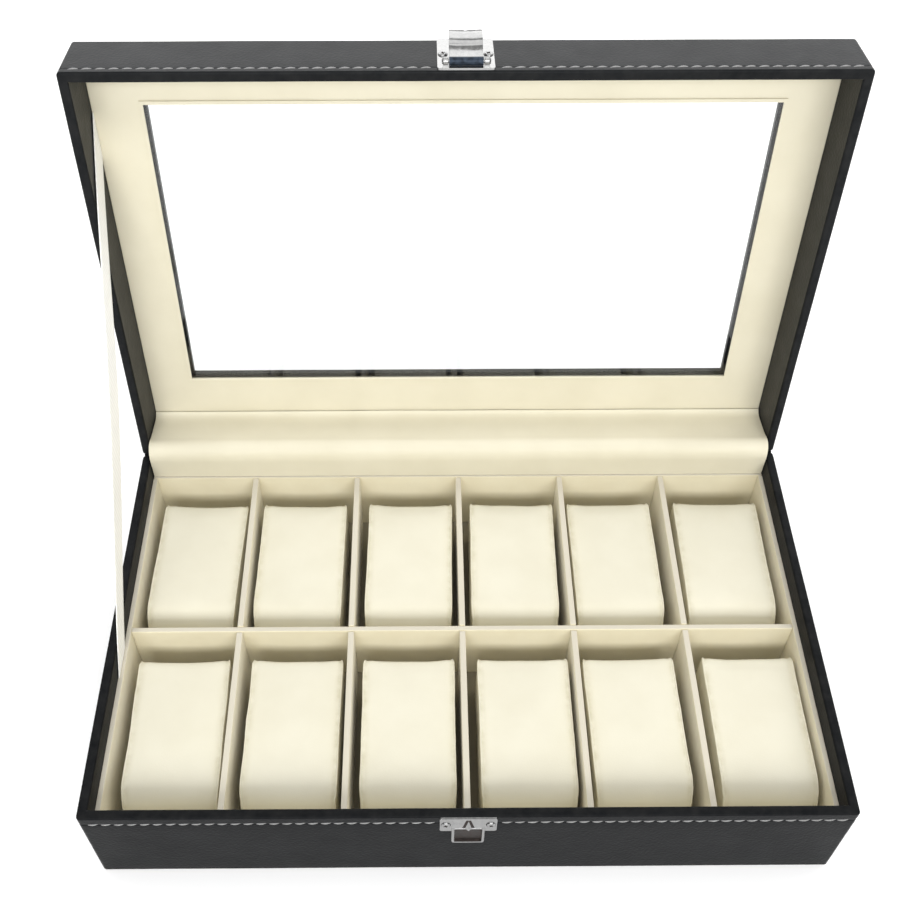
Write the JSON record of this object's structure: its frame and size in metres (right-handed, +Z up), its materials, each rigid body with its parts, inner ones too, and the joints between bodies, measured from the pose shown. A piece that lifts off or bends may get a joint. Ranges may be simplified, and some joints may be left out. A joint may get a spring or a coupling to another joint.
{
  "type": "watch box",
  "caption": "Rectangular leather-wrapped watch box with a window lid held open by a ribbon, a divided cream tray with loose watch pillows, and a small metal hasp.",
  "frame": {"origin": "middle of the underside, on the surface that the box stands on", "axes": "+X to the right along the box's long side, +Y towards the hinge at the back, +Z up"},
  "size_m": [0.3, 0.2383, 0.2394],
  "materials": {
    "black_leather": "fine-grained black synthetic leather, satin",
    "cream_leather": "smooth cream synthetic leather, satin",
    "pillow_leather": "soft cream synthetic leather, satin",
    "tray_lining": "cream flocked lining over card",
    "foam": "cut upholstery foam",
    "fibreboard": "raw fibreboard, hidden under the leather",
    "felt": "black felt",
    "window_glass": "clear polished",
    "chrome_hardware": "polished chrome plate",
    "ribbon": "cream satin ribbon"
  },
  "bodies": {
    "base": {"base_back_wall": "fibreboard", "base_bottom_panel": "fibreboard", "base_front_wall": "fibreboard", "base_leather_wrap": "black_leather", "base_left_wall": "fibreboard", "base_right_wall": "fibreboard", "base_underside_felt": "felt", "column_divider_1": "tray_lining", "column_divider_2": "tray_lining", "column_divider_3": "tray_lining", "column_divider_4": "tray_lining", "column_divider_5": "tray_lining", "hasp_keeper": "chrome_hardware", "inner_hinge_flap": "cream_leather", "keeper_screws": "chrome_hardware", "outer_hinge_leather": "black_leather", "ribbon_stay": "ribbon", "row_divider": "tray_lining", "tray_floor": "tray_lining", "tray_liner_back": "tray_lining", "tray_liner_front": "tray_lining", "tray_liner_left": "tray_lining", "tray_liner_right": "tray_lining"},
    "lid": {"hasp_pin": "chrome_hardware", "hasp_plate": "chrome_hardware", "hasp_screws": "chrome_hardware", "lid_back_wall": "fibreboard", "lid_front_wall": "fibreboard", "lid_inner_frame": "cream_leather", "lid_leather_wrap": "black_leather", "lid_left_wall": "fibreboard", "lid_right_wall": "fibreboard", "lid_top_board": "fibreboard", "window_glass": "window_glass"},
    "flap": {"hasp_flap": "chrome_hardware"},
    "pillow_front_1": {"watch_pillow_front_1": "pillow_leather", "pillow_core_front_1": "foam"},
    "pillow_front_2": {"watch_pillow_front_2": "pillow_leather", "pillow_core_front_2": "foam"},
    "pillow_front_3": {"watch_pillow_front_3": "pillow_leather", "pillow_core_front_3": "foam"},
    "pillow_front_4": {"watch_pillow_front_4": "pillow_leather", "pillow_core_front_4": "foam"},
    "pillow_front_5": {"watch_pillow_front_5": "pillow_leather", "pillow_core_front_5": "foam"},
    "pillow_front_6": {"watch_pillow_front_6": "pillow_leather", "pillow_core_front_6": "foam"},
    "pillow_back_1": {"watch_pillow_back_1": "pillow_leather", "pillow_core_back_1": "foam"},
    "pillow_back_2": {"watch_pillow_back_2": "pillow_leather", "pillow_core_back_2": "foam"},
    "pillow_back_3": {"watch_pillow_back_3": "pillow_leather", "pillow_core_back_3": "foam"},
    "pillow_back_4": {"watch_pillow_back_4": "pillow_leather", "pillow_core_back_4": "foam"},
    "pillow_back_5": {"watch_pillow_back_5": "pillow_leather", "pillow_core_back_5": "foam"},
    "pillow_back_6": {"watch_pillow_back_6": "pillow_leather", "pillow_core_back_6": "foam"}
  },
  "joints": [
    {"name": "lid_hinge", "type": "hinge", "parent": "base", "child": "lid", "pos_m": [0, 0.0925, 0.0501], "axis": [-1, 0, 0], "range_deg": [-97, 0], "deforming": ["inner_hinge_flap", "outer_hinge_leather", "ribbon_stay"]},
    {"name": "hasp_flap_hinge", "type": "hinge", "parent": "lid", "child": "flap", "pos_m": [0, 0.11814, 0.23596], "axis": [-1, 0, 0], "range_deg": [-160, 0]},
    {"name": "pillow_front_1_lift", "type": "slide", "parent": "base", "child": "pillow_front_1", "axis": [0, 0, 1], "range_m": [0, 0.06]},
    {"name": "pillow_front_2_lift", "type": "slide", "parent": "base", "child": "pillow_front_2", "axis": [0, 0, 1], "range_m": [0, 0.06]},
    {"name": "pillow_front_3_lift", "type": "slide", "parent": "base", "child": "pillow_front_3", "axis": [0, 0, 1], "range_m": [0, 0.06]},
    {"name": "pillow_front_4_lift", "type": "slide", "parent": "base", "child": "pillow_front_4", "axis": [0, 0, 1], "range_m": [0, 0.06]},
    {"name": "pillow_front_5_lift", "type": "slide", "parent": "base", "child": "pillow_front_5", "axis": [0, 0, 1], "range_m": [0, 0.06]},
    {"name": "pillow_front_6_lift", "type": "slide", "parent": "base", "child": "pillow_front_6", "axis": [0, 0, 1], "range_m": [0, 0.06]},
    {"name": "pillow_back_1_lift", "type": "slide", "parent": "base", "child": "pillow_back_1", "axis": [0, 0, 1], "range_m": [0, 0.06]},
    {"name": "pillow_back_2_lift", "type": "slide", "parent": "base", "child": "pillow_back_2", "axis": [0, 0, 1], "range_m": [0, 0.06]},
    {"name": "pillow_back_3_lift", "type": "slide", "parent": "base", "child": "pillow_back_3", "axis": [0, 0, 1], "range_m": [0, 0.06]},
    {"name": "pillow_back_4_lift", "type": "slide", "parent": "base", "child": "pillow_back_4", "axis": [0, 0, 1], "range_m": [0, 0.06]},
    {"name": "pillow_back_5_lift", "type": "slide", "parent": "base", "child": "pillow_back_5", "axis": [0, 0, 1], "range_m": [0, 0.06]},
    {"name": "pillow_back_6_lift", "type": "slide", "parent": "base", "child": "pillow_back_6", "axis": [0, 0, 1], "range_m": [0, 0.06]}
  ]
}
